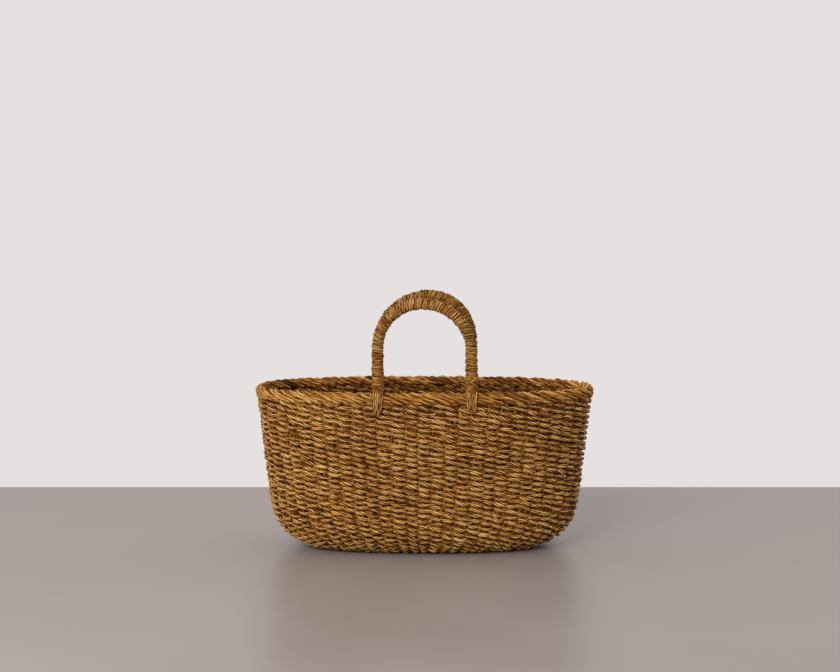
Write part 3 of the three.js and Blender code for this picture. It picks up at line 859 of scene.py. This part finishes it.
def bind_feet(handle):
    """The binding round both feet, from the rim up onto the legs."""
    strands = Strands()
    for end in (-1, 1):
        criss_cross(strands, handle, end)
        level_rings(strands, handle, end)
    piece = strands.build(f"{handle.side}_foot_binding", CORD)
    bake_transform(piece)


LASHING_CORDS = 5
LASHING_OUT = 7.3 * MM  # from the wall's middle to a cord beside the rim
LASHING_SHOULDER = RIM_TOP - 5 * MM  # where a cord turns in over the rim
LASHING_OVER = 6.6 * MM  # how far it arches up from there
LASHING_HALF_SPREAD = 6.4 * MM  # half the width of the lashing on the rim
LASHING_DRAWN = 2.0 * MM  # how far each side of it is drawn in at its lower end
LASHING_TUCK = 2.8 * MM  # how far the lower ends go into the weave
LASHING_BOW = 0.7 * MM
LASHING_WAVES = 4
LASHING_OUTER_ENDS = (-1, 3)  # how far above the CAD lashing's lower edge cords end, in mm
LASHING_INNER_ENDS = (2, 6)  # and the same inside the basket
LASHING_OUTER_STEPS = 14
LASHING_OVER_STEPS = 12
LASHING_INNER_STEPS = 10
LASHING_HALF_SIDE = 1.3 * MM
LASHING_HALF_THICK = 1.4 * MM
LASHING_TONE = 0.59
LASHING_TONE_SPREAD = 0.14
LASHING_END_SHADE = 0.14  # how much darker a cord is at its lower ends


def lashing_path(handle, place, spread, drop):
    """One cord's line from its outer end up over the rim and down inside, and how far down it
    hangs: 0 above the shoulder and 1 at the CAD lashing's lower edge."""
    outer_low = drop + rng.uniform(*LASHING_OUTER_ENDS) * MM
    inner_low = drop + rng.uniform(*LASHING_INNER_ENDS) * MM
    outer = np.linspace(outer_low, LASHING_SHOULDER, LASHING_OUTER_STEPS)
    turn = np.linspace(0, math.pi, LASHING_OVER_STEPS)[1:-1]
    inner = np.linspace(LASHING_SHOULDER, inner_low, LASHING_INNER_STEPS)
    out = np.concatenate([
        LASHING_OUT - wall_shift(outer),
        LASHING_OUT * np.cos(turn),
        -LASHING_OUT - wall_shift(inner),
    ])
    z = np.concatenate([outer, LASHING_SHOULDER + LASHING_OVER * np.sin(turn), inner])
    hang = np.clip((LASHING_SHOULDER - z) / (LASHING_SHOULDER - drop), 0, 1)
    bow = wander(np.linspace(0, LASHING_WAVES, len(z)), LASHING_BOW, LASHING_WAVES + 2)
    half_spread = LASHING_HALF_SPREAD - LASHING_DRAWN * hang ** 1.4
    x = place * handle.span + spread * half_spread + bow * hang
    out = out - np.sign(out) * LASHING_TUCK * hang ** 4
    return np.column_stack([x, handle.pivot[1] + handle.out * out, z]), hang


def lash(handle, place, name):
    """Cords over the rim under one foot, drawn together a little at their lower ends."""
    strands = Strands()
    node = f"{handle.side}_{name}_lashing"
    drop = corners(node)[0][2]
    for cord in range(LASHING_CORDS):
        spread = (cord + 0.5) / LASHING_CORDS * 2 - 1
        line, hang = lashing_path(handle, place, spread, drop)
        travel = unit(np.gradient(line, axis=0))
        thick = unit(np.cross(travel, everywhere(RIGHT, line)))
        tone = LASHING_TONE + rng.normal(0, LASHING_TONE_SPREAD) - LASHING_END_SHADE * hang
        # Painted shade between the cords and on their edges, and painted light on their crowns.
        strands.add(line, np.cross(thick, travel), thick, LASHING_HALF_SIDE, LASHING_HALF_THICK,
                    tone, lobes=3, groove=0.3, crown=0.8, around=12, capped=True)
    show(strands.build(node + "_cords", CORD), "basket", "lashing_cord", node)


def make_handles():
    """Both handles with their bindings and lashings. Their CAD cores stay, as cane."""
    for side in ("front", "back"):
        handle = Handle(side)
        wrap_handle(handle)
        bind_feet(handle)
        lash(handle, -1, "left")
        lash(handle, 1, "right")
        core = frame["nodes"][f"{side}_handle_core"]
        core.data.materials.clear()
        core.data.materials.append(CANE)


# ---- Loose fibres --------------------------------------------------------------------------------
LOOSE_FIBRES = 110
FIBRE_STEPS = 9
FIBRE_HALF_SIDE = 0.72 * MM
FIBRE_HALF_THICK = 0.27 * MM
FIBRE_OFF = 3.6 * MM  # from the wall's middle to where a fibre leaves the weave
FIBRE_END_OFF = (0.5, 5)  # how much further out its loose end is, in mm
FIBRE_REACH = (0.25, 0.7)  # in stakes
FIBRE_RISE = 4  # spread of how far up or down it goes, in mm
FIBRE_LENGTHS = (0.12, 1.0)  # where fibres start, as a share of the way up the wall
FIBRE_TAPER = 0.8
FIBRE_TONES = (0.5, 1.0)


def loose_fibres():
    """Frayed ends that stand off the weave here and there."""
    strands = Strands()
    share = np.linspace(0, 1, FIBRE_STEPS)
    for _ in range(LOOSE_FIBRES):
        place = rng.uniform(0, STAKES)
        length = rng.uniform(*FIBRE_LENGTHS) * SIDE.total
        reach = rng.uniform(*FIBRE_REACH)
        places = place + share * reach * rng.choice([-1, 1])
        lengths = np.clip(length + share * rng.normal(0, FIBRE_RISE) * MM, 0, SIDE.total)
        centre, _, rise, outward = wall_frame(angle_of(places), lengths)
        off = FIBRE_OFF + share ** 2 * rng.uniform(*FIBRE_END_OFF) * MM
        line = centre + outward * off[:, None]
        taper = 1 - FIBRE_TAPER * share
        strands.add(line, rise, outward, taper * FIBRE_HALF_SIDE, taper * FIBRE_HALF_THICK,
                    rng.uniform(*FIBRE_TONES), around=6, relief=0)
    piece = strands.build("loose_fibres", ROPE)
    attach(piece, "basket")


weave_wall()
roll_rim()
make_stakes()
weave_mat()
make_handles()
loose_fibres()

# ---- Floor, light and camera ---------------------------------------------------------------------
FLOOR_EDGE = 0.41  # how far behind the basket's middle the floor meets the pale backdrop
FLOOR_REACH = 40.0
FLOOR_SHADES = [(0.35, srgb(149, 140, 135)), (0.65, srgb(158, 149, 144))]
BACKDROP = srgb(230, 225, 225)
SKY_DIMMING = {"From Min": -0.7, "From Max": -0.2, "To Min": 0.12, "To Max": 1.0}
WINDOW_SIZE = (1.5, 1.2)
WINDOW_POWER = 50
WINDOW_COLOUR = (1.0, 0.98, 0.95)
WINDOW_PLACE = (-0.9, -2.15, 1.3)
WINDOW_TARGET = (0, 0, 0.12)
CAMERA_PLACE = (-0.0058, -1.98, 0.424)
CAMERA_DIP = 4.62  # degrees below level
CAMERA_LENS = 68
CAMERA_SENSOR = 36


def floor_material():
    """Softly shining concrete, and behind FLOOR_EDGE the same pale tone as the sky."""
    n = Nodes("floor")
    place = n.add("ShaderNodeTexCoord").outputs["Object"]
    split = n.add("ShaderNodeSeparateXYZ")
    n.link(place, split.inputs[0])
    behind = n.math("GREATER_THAN", split.outputs["Y"], FLOOR_EDGE)
    cloud = n.noise(place, scale=3.0, detail=4.0)
    n.link(n.ramp(cloud, FLOOR_SHADES), n.shader.inputs["Base Color"])
    n.link(n.scaled(cloud, 0.2, start=0.28), n.shader.inputs["Roughness"])
    n.shader.inputs["Specular IOR Level"].default_value = 0.5
    glow = n.add("ShaderNodeEmission")
    glow.inputs["Color"].default_value = BACKDROP
    mix = n.add("ShaderNodeMixShader")
    n.link(behind, mix.inputs[0])
    n.link(n.shader.outputs[0], mix.inputs[1])
    n.link(glow.outputs[0], mix.inputs[2])
    n.link(mix.outputs[0], n.tree.nodes["Material Output"].inputs["Surface"])
    return n.material


def make_stage():
    """One large flat floor."""
    mesh = bpy.data.meshes.new("floor")
    reach = FLOOR_REACH
    floor_corners = [(-reach, -reach, 0), (reach, -reach, 0), (reach, reach, 0), (-reach, reach, 0)]
    mesh.from_pydata(floor_corners, [], [(0, 1, 2, 3)])
    mesh.materials.append(floor_material())
    floor = bpy.data.objects.new("floor", mesh)
    bpy.context.scene.collection.objects.link(floor)


def make_sky():
    """A pale studio, dimmer on the camera's side of the basket."""
    world = bpy.data.worlds.new("studio")
    world.use_nodes = True
    nodes = world.node_tree.nodes
    links = world.node_tree.links
    sky = nodes["Background"]
    sky.inputs["Color"].default_value = BACKDROP
    way = nodes.new("ShaderNodeSeparateXYZ")
    links.new(nodes.new("ShaderNodeTexCoord").outputs["Generated"], way.inputs[0])
    dim = nodes.new("ShaderNodeMapRange")
    for name, value in SKY_DIMMING.items():
        dim.inputs[name].default_value = value
    links.new(way.outputs["Y"], dim.inputs["Value"])
    links.new(dim.outputs["Result"], sky.inputs["Strength"])
    bpy.context.scene.world = world


def aim(thing, target):
    """Turns a light so that it shines at a target."""
    way = np.array(target) - np.array(thing.location)
    flat = math.hypot(way[0], way[1])
    thing.rotation_euler = (math.atan2(flat, -way[2]), 0, math.atan2(way[1], way[0]) - math.pi / 2)


def make_window():
    """One large soft light at the upper left, beside the camera."""
    light = bpy.data.lights.new("window", "AREA")
    light.shape = "RECTANGLE"
    light.size = WINDOW_SIZE[0]
    light.size_y = WINDOW_SIZE[1]
    light.energy = WINDOW_POWER
    light.color = WINDOW_COLOUR
    lamp = bpy.data.objects.new("window", light)
    lamp.location = WINDOW_PLACE
    aim(lamp, WINDOW_TARGET)
    bpy.context.scene.collection.objects.link(lamp)


def make_camera():
    """A long lens a little above the rim, looking slightly down at the basket's front."""
    camera = bpy.data.cameras.new("camera")
    camera.sensor_width = CAMERA_SENSOR
    camera.lens = CAMERA_LENS
    viewer = bpy.data.objects.new("camera", camera)
    viewer.location = CAMERA_PLACE
    viewer.rotation_euler = (math.radians(90 - CAMERA_DIP), 0, 0)
    bpy.context.scene.collection.objects.link(viewer)
    bpy.context.scene.camera = viewer


make_stage()
make_sky()
make_window()
make_camera()
bpy.context.scene.view_settings.view_transform = "Standard"
